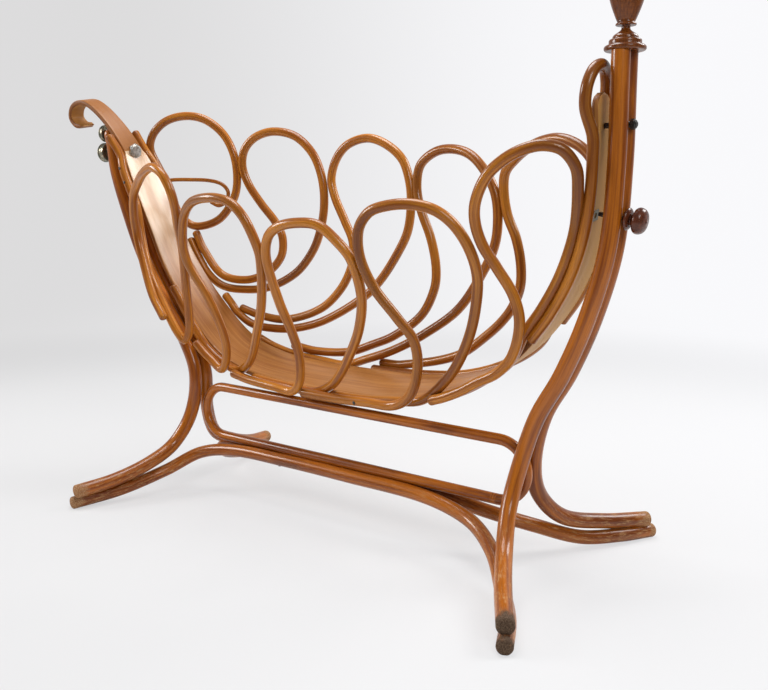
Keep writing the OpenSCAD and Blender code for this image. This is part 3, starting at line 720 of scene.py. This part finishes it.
def worn_metal(name, bright, dull, crust, metal, rough, crusted):
    """Old metal: brushed ground, dull patches, and a crust of tarnish or rust in its pits."""
    m = Maker(name)
    p = m.attribute("straight", "Vector")
    cloud = m.noise(p, (90, 90, 90), 4, 0.6)
    speck = m.noise(p, (700, 700, 700), 3, 0.7)
    brush = m.noise(p, (2600, 300, 300), 2)
    pits = m.step(cloud + speck * 0.6, crusted, crusted + 0.22)
    base = m.layers(bright, (m.step(cloud, 0.35, 0.65), dull), (pits, crust))
    height = brush * 0.25 + speck * 0.4 + pits * 0.5
    return m.finish(Base_Color=base, Metallic=(1 - pits * 0.75) * metal,
                    Roughness=speck * 0.15 + pits * 0.3 + rough, Normal=m.bump(height, 0.3, 0.0003))


# Metals: name, bright ground, dull patches, crust, how metallic, how rough, and where it crusts
METALS = {
    "iron": ("black iron", (0.10, 0.095, 0.09), (0.035, 0.032, 0.03), (0.09, 0.04, 0.02), 0.85, 0.34, 0.86),
    "bronze": ("tarnished bronze", (0.36, 0.31, 0.22), (0.12, 0.105, 0.075), (0.10, 0.115, 0.085), 0.9, 0.3,
               0.72),
    "plated": ("worn plating", (0.66, 0.65, 0.62), (0.36, 0.345, 0.31), (0.16, 0.13, 0.10), 0.95, 0.24, 0.84),
}
MATERIALS = {}


# Properties

def colour(name, value, description):
    return FloatVectorProperty(name=name, description=description, subtype="COLOR", size=3, min=0, max=1,
                               default=value)


def power(name, value, description):
    return FloatProperty(name=name, description=description, unit="POWER", min=0, default=value)


def angle(name, value, description):
    return FloatProperty(name=name, description=description, subtype="ANGLE", default=math.radians(value))


def millimetres(name, value, description):
    return FloatProperty(name=name, description=description + ", in millimetres", min=1, default=value)


class WoodColours(PropertyGroup):
    light: colour("Light", (0.60, 0.222, 0.022), "Light streaks of the bent rods")
    dark: colour("Dark", (0.26, 0.068, 0.004), "Dark streaks of the bent rods")
    stain: colour("Stain", (0.085, 0.020, 0.004), "Stain in pores, in patches and at the ends")
    leg_light: colour("Leg light", (0.50, 0.146, 0.009), "Light streaks of the stand's rods")
    leg_dark: colour("Leg dark", (0.20, 0.042, 0.003), "Dark streaks of the stand's rods")
    board_light: colour("Board light", (0.43, 0.182, 0.044), "Light figure of the keel board")
    board_dark: colour("Board dark", (0.24, 0.078, 0.014), "Dark figure of the keel board")
    # Worn: the pale of the board's low end, partly worn varnish and partly a painted glare
    pale: colour("Worn", (0.86, 0.66, 0.45), "Worn varnish on the board's inner face")
    # Painted light: a bright colour for the board's outer face, against the shade it gets
    gold: colour("Gold", (0.66, 0.36, 0.10), "Clear varnish on the board's outer face")
    turned_light: colour("Turned light", (0.23, 0.064, 0.010), "Light grain of the collar and the urn")
    turned_dark: colour("Turned dark", (0.10, 0.024, 0.004), "Dark grain of the collar and the urn")
    knob_light: colour("Knob light", (0.15, 0.038, 0.014), "Light grain of the lock's knob and collar")
    knob_dark: colour("Knob dark", (0.055, 0.012, 0.005), "Dark grain of the lock's knob and collar")


class StageLook(PropertyGroup):
    key: power("Overhead light", 62, "Power of the soft light overhead")
    side: power("Side light", 66, "Power of the windows at the sides")
    fill: FloatProperty(name="Room light", description="Strength of the room's even light", min=0,
                        default=0.32)
    lens: FloatProperty(name="Lens", description="Focal length for a 36 mm wide sensor", default=41.77, min=1,
                        unit="CAMERA")
    azimuth: angle("Azimuth", 36.75, "Turn of the camera from looking along +Y")
    pitch: angle("Pitch", 9.07, "How far the camera looks down")
    camera: FloatVectorProperty(name="Camera", description="Place of the camera", subtype="TRANSLATION",
                                size=3, default=(1.3764, -1.5249, 0.7249))
    backdrop: colour("Paper", (0.80, 0.80, 0.80), "Floor under the lamps")
    backdrop_dim: colour("Backdrop, dim side", (0.72, 0.715, 0.72), "How the paper shows on its dim side")
    backdrop_bright: colour("Backdrop, bright side", (0.95, 0.95, 0.97), "How it shows on its bright side")


class Sizes(PropertyGroup):
    sides: IntProperty(name="Round", description="Corners round a turned piece", default=72, min=24, max=128)
    nut_d: millimetres("Nut", 51, "Diameter of the low pivot's round nut")
    clamp_nut_d: millimetres("Clamp nut", 45, "Diameter of the clamp bolt's nut")
    hex_w: millimetres("Hexagon", 34, "Width of the hexagon head")


# Operators

class CRADLE_OT_finishes(Operator):
    """Make the woods and metals"""
    bl_idname = "cradle.finishes"
    bl_label = "Finishes"

    def execute(self, context):
        look = context.scene.cradle_wood
        c = {key: tuple(getattr(look, key)) for key in WoodColours.__annotations__}
        stain = c["stain"]
        MATERIALS["crook"] = bent_wood("bent beech, basket", c["light"], c["dark"], stain)
        MATERIALS["leg"] = foot_wood("bent beech, stand", c["leg_light"], c["leg_dark"], stain)
        MATERIALS["stave"] = bent_wood("dark stained rod", c["dark"], (0.15, 0.05, 0.014), stain, 0.24)
        MATERIALS["board"] = board_wood("sawn beech board", c["board_light"], c["board_dark"], stain,
                                        c["pale"], c["gold"])
        MATERIALS["turned"] = turned_wood("turned and polished", c["turned_light"], c["turned_dark"],
                                          (0.05, 0.014, 0.005))
        MATERIALS["knob"] = turned_wood("dark turned knob", c["knob_light"], c["knob_dark"],
                                        (0.03, 0.009, 0.006))
        for key, metal in METALS.items():
            MATERIALS[key] = worn_metal(*metal)
        return {"FINISHED"}


class CRADLE_OT_stand(Operator):
    """Make the stand's bent rods"""
    bl_idname = "cradle.stand"
    bl_label = "Stand"

    def execute(self, context):
        leg = MATERIALS["leg"]
        for number, (word, side) in enumerate((("near", -1), ("far", 1))):
            for name, route, radius, seed, ease, domed in (
                    ("leg_low_", LOW_LEG, LEG_R, 11.3, (7, 12), (True, False)),
                    ("leg_tall_", TALL_LEG, LEG_R, 17.9, (7, 0.5), (True, False)),
                    ("floor_rail_", RAIL, RAIL_R, 23.1, (7, 7), (True, True))):
                rod(name + word, "stand", to_side(route, side), radius, at_home, "bent_rod", leg,
                    seed + number, ease, domed, floor=True)
        rod("low_post_stave", "stand", STAVE, STAVE_R, at_home, "dark_rod", MATERIALS["stave"], 31.7, (8, 3))
        self.stretcher(leg)
        return {"FINISHED"}

    def stretcher(self, material):
        """The closed oblong loop: circles square to its path, the last joined to the first."""
        path = stretcher_route()
        tangent, side = frames(path, closed=True)
        verts, straight = circles(path, tangent, side, np.full(len(path), LOOP_R), distances(path))
        piece = Piece()
        piece.add(at_home(verts), [grid_faces(len(path), ROD_SIDES, True)], straight * MM)
        far_from_end = np.ones(len(straight))
        piece.make("stretcher_loop", "stand", "bent_rod", material, 37.7, from_end=far_from_end,
                   dark_tip=0 * far_from_end)


class CRADLE_OT_basket(Operator):
    """Make the basket's crook loops, arch and volute"""
    bl_idname = "cradle.basket"
    bl_label = "Basket"

    def execute(self, context):
        crook = MATERIALS["crook"]
        for word, routes, seed in (("near", NEAR, 41), ("far", FAR, 61)):
            for number, route in enumerate(routes, 1):
                rod(f"loop_{word}_{number}", "basket", route, ROD_R, hang, "bent_rod", crook,
                    seed + number * 2.3, (7, 7), (True, True))
        rod("end_arch", "basket", arch_route(), ROD_R, hang, "bent_rod", crook, 83.3)
        rod("side_volute", "basket", VOLUTE, VOLUTE_R, hang, "dark_rod", crook, 91.9, (2, 2))
        return {"FINISHED"}


class CRADLE_OT_board(Operator):
    """Make the keel board, from its scroll to its rounded top"""
    bl_idname = "cradle.board"
    bl_label = "Keel board"

    def execute(self, context):
        line = curve(SCROLL + BOARD, BOARD_STEP)
        path = np.stack([line[:, 0], 0 * line[:, 0], line[:, 1]], axis=1)
        ahead = np.gradient(path, axis=0)
        ahead /= np.linalg.norm(ahead, axis=1)[:, None]
        inward = np.stack([-ahead[:, 2], 0 * ahead[:, 0], ahead[:, 0]], axis=1)
        run = distances(path)
        top = np.clip((run[-1] - run) / BOARD_END, 0, 1)
        tip = np.clip(run / 6, 0, 1)
        wide = self.half_width(path[:, 0]) * np.sqrt(np.maximum(1 - (1 - top) ** 2, 0.012))
        thick = BOARD_T / 2 * np.sqrt(np.maximum(1 - (1 - tip) ** 2, 0.05))
        across, up, corner = self.section()
        y = across * (wide - BOARD_CORNER)[:, None] + corner * np.minimum(BOARD_CORNER, wide)[:, None]
        z = up * thick[:, None]
        rings = path[:, None] + y[..., None] * [0, 1, 0] + z[..., None] * inward[:, None]
        flat = np.stack(np.broadcast_arrays(run[:, None], y, z), axis=-1)
        rows, cols = y.shape
        piece = Piece()
        piece.add(hang(np.vstack([rings.reshape(-1, 3), path[[0, -1]]])), capped(rows, cols),
                  np.vstack([flat.reshape(-1, 3), [[run[0], 0, 0], [run[-1], 0, 0]]]) * MM)
        pivot_run = run[np.argmin(np.abs(path[:, 2]) + (path[:, 0] > 0) * 1000)]
        from_low = np.where(run < pivot_run, ON_SCROLL, (run - pivot_run) * MM)
        masks = {"inner": np.tile(up > 0.9, rows), "edge": np.tile(np.abs(up) < 0.9, rows),
                 "from_low": np.repeat(from_low, cols)}
        piece.make("keel_board", "basket", "board", MATERIALS["board"], 3.1,
                   **{key: np.append(mask, [0, 0]) for key, mask in masks.items()})
        return {"FINISHED"}

    def half_width(self, x):
        """Half width along the board: the leaf between the pivots, and a slow taper out along the scroll."""
        scroll = np.interp(-x, [LEAF_X, END_X + 70, END_X + 230], [BOARD_END + BOARD_LOW, 26, 22])
        return np.where(x < -LEAF_X, scroll, half_w(x))

    def section(self):
        """Rounded rectangle, in shares of the half width inside its corners, half thickness and corner.

        One half is the inner face and a half circle. The other is the same with its signs turned.
        """
        flat, turn = np.linspace(-1, 1, 33), np.radians(np.arange(15, 180, 15))
        half = np.array([np.append(flat, 1 + 0 * turn), np.append(1 + 0 * flat, np.cos(turn)),
                         np.append(0 * flat, np.sin(turn))])
        return np.hstack([half, -half])


class CRADLE_OT_finial(Operator):
    """Make the turned collar and urn, and the lock's collar and knob"""
    bl_idname = "cradle.finial"
    bl_label = "Turned pieces"

    def execute(self, context):
        how = {"sides": context.scene.cradle_sizes.sides}
        top, upward = np.array([TALL_POST, 0, COLLAR_Z]), (0, 0, 1)
        collar = [[0.1, 0.5], [28, 0.5], [34, 0.5], [36, 3], [36, 7], [33, 10], [28, 10], [28, 18], [26, 20],
                  [22, 20], [22, 24], [20, 27], [14, 31], [8.5, 35], [7.5, 38], [7.5, 41.9]]
        turned("post_collar", "stand", [(rounded(collar, 0.2), top, upward, how)], "turned", 5.3)
        turned("post_urn", "stand", [(self.urn(), top + [0, 0, 42.3], upward, how)], "turned", 6.7)
        ring = [[4.6, 0], [17, 0], [20, 2], [20.5, 4], [18, 7], [13, 8.5], [4.6, 8.5]]
        knob = [[4.6, 0], [11, 0], [10, 3], [12, 6], [20, 8], [23, 11], [24, 15], [23, 20], [20, 25],
                [14, 28], [0.1, 30]]
        for name, profile, out, seed in (("lock_collar", ring, 19, 7.9), ("lock_knob", knob, 27.8, 8.3)):
            part = (rounded(profile), LOCK_START + LOCK_AXIS * out, LOCK_AXIS, how)
            turned(name, "lock", [part], "knob", seed, slot="turned")
        return {"FINISHED"}

    def urn(self):
        """Urn's profile: a foot ring, quarter sines out to the shoulder and in from it, and the socket."""
        height, wide, mid, bore, deep = 130, 33, 71.5, 10, 60
        u = np.linspace(0, 1, 20)[1:]
        sin, cos = np.sin(np.pi / 2 * u), np.cos(np.pi / 2 * u)
        belly = np.stack([15 + (wide - 15) * sin, 6 + (mid - 6) * u], axis=1)
        neck = np.stack([wide - 12 * (1 - cos), mid + 36 * sin], axis=1)
        lip = [[24, mid + 39], [24, mid + 43], [24, mid + 46], [20, height - 4], [18, height]]
        socket = [[bore + 1, height], [bore, height - 1], [bore, height - deep], [0.1, height - deep]]
        foot = rounded([[0.1, 0], [17, 0], [18, 1.5], [17, 4], [14.5, 5.5]])
        return np.vstack([foot, belly, neck, rounded(lip, 0.2), socket])


class CRADLE_OT_iron(Operator):
    """Make the bolts, nuts, screws and the lock's pin, and give the lock's plate the bronze finish"""
    bl_idname = "cradle.iron"
    bl_label = "Ironwork"

    def execute(self, context):
        sizes = context.scene.cradle_sizes
        wide, shaft = {"sides": sizes.sides}, {}
        hexagon, small_hexagon = {"sides": 96, "flats": sizes.hex_w}, {"sides": 96, "flats": 16.5}
        out, into = (-1, 0, 0), (1, 0, 0)
        clamp, low_nut, bolt = self.at(-END_X - 107, 50), self.at(-END_X - 103.5), self.at(-END_X + 1.5)
        inner_nut, tall_nut = self.at(END_X - BOARD_T / 2 - 8), self.at(TALL_X + LEG_R + 0.5)
        turned("clamp_bolt_low", "stand", [
            (self.round_nut(sizes.clamp_nut_d, 17), clamp, out, wide),
            (self.shank(4.95, -43, 1), clamp, out, shaft),
            (self.shank(7, -44, -39), clamp, out, shaft)], "bronze", 1.1)
        turned("pivot_nut_low", "basket", [
            (self.round_nut(sizes.nut_d, 25), low_nut, out, wide)], "bronze", 2.9)
        head = rounded([[0.1, 0], [19.7, 0], [19.7, 5.4], [17.4, 7.5], [14.6, 8], [13.6, 9.2], [7, 9.5],
                        [0.1, 9.5]], 0.2)
        turned("pivot_bolt_low", "basket", [
            (head, bolt, into, hexagon),
            (self.shank(5, low_nut[0] - bolt[0] - 17, 0.4), bolt, into, shaft)], "plated", 3.7)
        hex_nut = rounded([[4.5, 0], [10.6, 0], [11, 0.8], [11, 6], [9.6, 7], [4.5, 7]], 0.2)
        end = rounded([[0.1, 0], [5, 0], [5, 10], [4, 11], [0.1, 11]], 0.15)
        washer = rounded([[5, 6.5], [7.5, 6.5], [7.5, 8.4], [6.8, 9], [5, 9]], 0.2)
        turned("pivot_bolt_tall", "basket", [
            (hex_nut * [1, 7.8 / 7], inner_nut, into, small_hexagon),
            (self.shank(5, self.at(END_X - 22)[0] - tall_nut[0], 1), tall_nut, into, shaft),
            (end, tall_nut, into, shaft)], "iron", 4.3)
        turned("pivot_nut_tall", "basket", [
            (hex_nut, tall_nut, into, small_hexagon), (washer, tall_nut, into, shaft)], "iron", 5.9)
        pin = rounded([[0.1, -33], [3.2, -33], [4.5, -30.5], [4.5, 38], [0.1, 38]], 0.2)
        turned("lock_shaft", "lock", [(pin, LOCK_START, LOCK_AXIS, shaft)], "iron", 6.1)
        self.screws()
        plate = frame["nodes"]["lock_plate"].data.materials
        plate.clear()
        plate.append(MATERIALS["bronze"])
        return {"FINISHED"}

    def at(self, x, up=0):
        """Place at x from halfway between the pivots, and so far over their line."""
        return np.array([x + MIDDLE, 0, PIVOT[2] + up])

    def round_nut(self, d, h):
        """Nut's profile: a flat back, a drum, a rounded rim that stands out round it, and a raised middle."""
        r = d / 2
        return rounded([[0.1, 0], [r - 2.6, 0], [r - 2, 0.8], [r - 2, h - 11.4], [r - 0.4, h - 9.4],
                        [r, h - 8], [r - 0.2, h - 6], [r - 2, h - 4.2], [r / 2 + 1, h - 3],
                        [r / 2 - 1, h - 1.4], [r / 2 - 4, h - 0.2], [0.1, h - 0.1]], 0.22)

    def shank(self, r, low, high):
        """Rod's profile from a low end with a small chamfer to a high end."""
        return [[0.1, low], [r - 0.5, low], [r, low + 0.5], [r, high], [0.1, high]]

    def screws(self):
        """Slotted screws, each sunk in the rod that it holds."""
        head = [[0.1, -6], [2, -6], [2, -0.2], [4.2, 0], [4, 0.5], [3.4, 1], [2.4, 1.4], [1.6, 1.6],
                [0.8, 1.7], [0.1, 1.7]]
        how = {"sides": 36, "groove": (0.5, 0.7)}
        sunk = 0.6
        stand = [(head, np.array([x + MIDDLE, side * RAIL_Y, RAIL_Z - RAIL_R + sunk]), (0, 0, -1), how)
                 for x in (-130, 90) for side in (-1, 1)]
        turned("stand_screws", "stand", stand, "iron", 7.1)
        row = 2 * ROD_R + ROD_GAP
        basket = []
        for side, out, up, stations in ((-1, 2 * row, OUTER_UP, (8.7,)), (-1, row, 0, (0.42, 0.82)),
                                        (1, row, 0, (1.2, 3.2, 5.8, 9.2, 12.6)), (1, row, 8, (4.3,))):
            outward = (0, side * math.cos(TILT), side * math.sin(TILT))
            places = hang(by_edge(side, out - sunk, up, *stations)) / MM
            basket += [(head, place, outward, how) for place in places]
        turned("basket_screws", "basket", basket, "iron", 8.9)


# Lamps: name, place, which power and what share of it, and width
LAMPS = (("overhead", (-0.2, 0.2, 3.1), "key", 1, 1.7),
         ("front_window", (2.9, -1.6, 2.4), "key", 0.6, 1.3),
         ("left_window", (-2.9, -1.7, 1.9), "side", 1, 1.3),
         ("right_window", (2.1, 2.4, 3.0), "side", 1.3, 1.7))
LAMP_AIM = (0, 0, 0.45)

# Floor of the stage in metres: its flat part's radius, its bend's radius, and the wall's top
FLOOR_R = 4.6
BEND_R = 1.6
WALL_TOP = 5.5
FLOOR_SIDES = 96


class CRADLE_OT_stage(Operator):
    """Make the floor, the soft light and the camera"""
    bl_idname = "cradle.stage"
    bl_label = "Stage"

    def execute(self, context):
        look = context.scene.cradle_stage
        self.floor(look)
        for name, place, which, share, size in LAMPS:
            self.light(name, np.array(place), getattr(look, which) * share, size)
        world = bpy.data.worlds.new("room")
        context.scene.world = world
        world.use_nodes = True
        ground = world.node_tree.nodes["Background"]
        ground.inputs["Color"].default_value = (0.97, 0.98, 1, 1)
        ground.inputs["Strength"].default_value = look.fill
        data = bpy.data.cameras.new("camera")
        data.lens = look.lens
        data.sensor_width = 36
        camera = linked("camera", data)
        camera.location = look.camera
        camera.rotation_euler = (math.pi / 2 - look.pitch, 0, look.azimuth)
        context.scene.camera = camera
        context.scene.view_settings.view_transform = "Standard"
        return {"FINISHED"}

    def light(self, name, place, energy, size):
        """Round lamp whose -Z points at the aim."""
        data = bpy.data.lights.new(name, "AREA")
        data.energy = energy
        data.shape = "DISK"
        data.size = size
        lamp = linked(name, data)
        lamp.location = place
        aim = LAMP_AIM - place
        lamp.rotation_euler = (-math.acos(-aim[2] / np.linalg.norm(aim)), 0,
                               math.atan2(aim[1], aim[0]) + math.pi / 2)

    def paper(self, look):
        """Paper that shows an even tone of its own to the camera and in reflections, and lights nothing.

        The share of that tone is 0.7 round the object, so that its shadow stays, and grows to 1 at the wall.
        The tone goes from the dim side to the bright side along the line from left to right of the view.
        """
        m = Maker("seamless paper")
        place = m.place()
        across, depth = (m.node("ShaderNodeVectorMath", {0: place, 1: line}, output=1,
                                operation="DOT_PRODUCT") for line in ((0.8, 0.6, 0), (-0.6, 0.8, 0)))
        away = m.step(m.node("ShaderNodeVectorMath", {0: place}, output=1, operation="LENGTH"), 1.6, 3.6)
        grain = m.noise(place, (0.5, 0.5, 0.5), 2)
        sheet = m.mix(away, tuple(0.97 * c for c in look.backdrop), tuple(0.4 * c for c in look.backdrop))
        m.finish(Base_Color=m.mix(grain * 0.3, sheet, tuple(look.backdrop)), Roughness=0.9,
                 Specular_IOR_Level=0.2)
        tone = m.mix(m.step(across, -2.4, 2.4), tuple(look.backdrop_dim), tuple(look.backdrop_bright))
        glow = m.node("ShaderNodeEmission", {"Strength": 1.0, "Color": tone})
        camera, glossy, through = (m.node("ShaderNodeLightPath", output=ray) for ray in
                                   ("Is Camera Ray", "Is Glossy Ray", "Is Transmission Ray"))
        seen = camera + through + glossy * m.step(depth, -1.5, 2.5) * 0.6
        mixed = m.node("ShaderNodeMixShader", {0: seen * (away * 0.3 + 0.7), 2: glow})
        m.tree.links.new(m.shader.outputs[0], mixed.socket.node.inputs[1])
        m.tree.links.new(mixed.socket, m.tree.nodes["Material Output"].inputs["Surface"])
        return m.material

    def floor(self, look):
        """Seamless sheet: a flat floor all round that rises in a wide quarter circle into a round wall."""
        radius = np.append(0.0, np.linspace(0.5, FLOOR_R, 12))
        turn = np.linspace(0, np.pi / 2, 14)[1:]
        r = np.concatenate([radius, FLOOR_R + BEND_R * np.sin(turn), [FLOOR_R + BEND_R]])
        z = np.concatenate([0 * radius, BEND_R * (1 - np.cos(turn)), [WALL_TOP]])
        a = around(FLOOR_SIDES)
        verts = np.stack(np.broadcast_arrays(r[:, None] * np.cos(a), r[:, None] * np.sin(a), z[:, None]),
                         axis=-1).reshape(-1, 3)
        mesh = bpy.data.meshes.new("floor")
        mesh.from_pydata(verts.tolist(), [], grid_faces(len(r), FLOOR_SIDES)[:, ::-1].tolist())
        mesh.polygons.foreach_set("use_smooth", np.ones(len(mesh.polygons), bool))
        mesh.materials.append(self.paper(look))
        linked("floor", mesh)


class CRADLE_PT_panel(Panel):
    """Lists the cradle's pieces"""
    bl_idname = "CRADLE_PT_panel"
    bl_label = "Cradle"
    bl_space_type = "VIEW_3D"
    bl_region_type = "UI"
    bl_category = "Cradle"

    def draw(self, context):
        for operator in OPERATORS:
            self.layout.operator(operator.bl_idname)


OPERATORS = (CRADLE_OT_finishes, CRADLE_OT_stand, CRADLE_OT_basket, CRADLE_OT_board, CRADLE_OT_finial,
             CRADLE_OT_iron, CRADLE_OT_stage)
CLASSES = (WoodColours, StageLook, Sizes) + OPERATORS + (CRADLE_PT_panel,)


def register():
    for cls in CLASSES:
        bpy.utils.register_class(cls)
    bpy.types.Scene.cradle_wood = PointerProperty(type=WoodColours)
    bpy.types.Scene.cradle_stage = PointerProperty(type=StageLook)
    bpy.types.Scene.cradle_sizes = PointerProperty(type=Sizes)


def unregister():
    del bpy.types.Scene.cradle_sizes
    del bpy.types.Scene.cradle_stage
    del bpy.types.Scene.cradle_wood
    for cls in reversed(CLASSES):
        bpy.utils.unregister_class(cls)


def main():
    register()
    bpy.ops.cradle.finishes()
    bpy.ops.cradle.stand()
    bpy.ops.cradle.basket()
    bpy.ops.cradle.board()
    bpy.ops.cradle.finial()
    bpy.ops.cradle.iron()
    bpy.ops.cradle.stage()


if __name__ == "__main__":
    main()
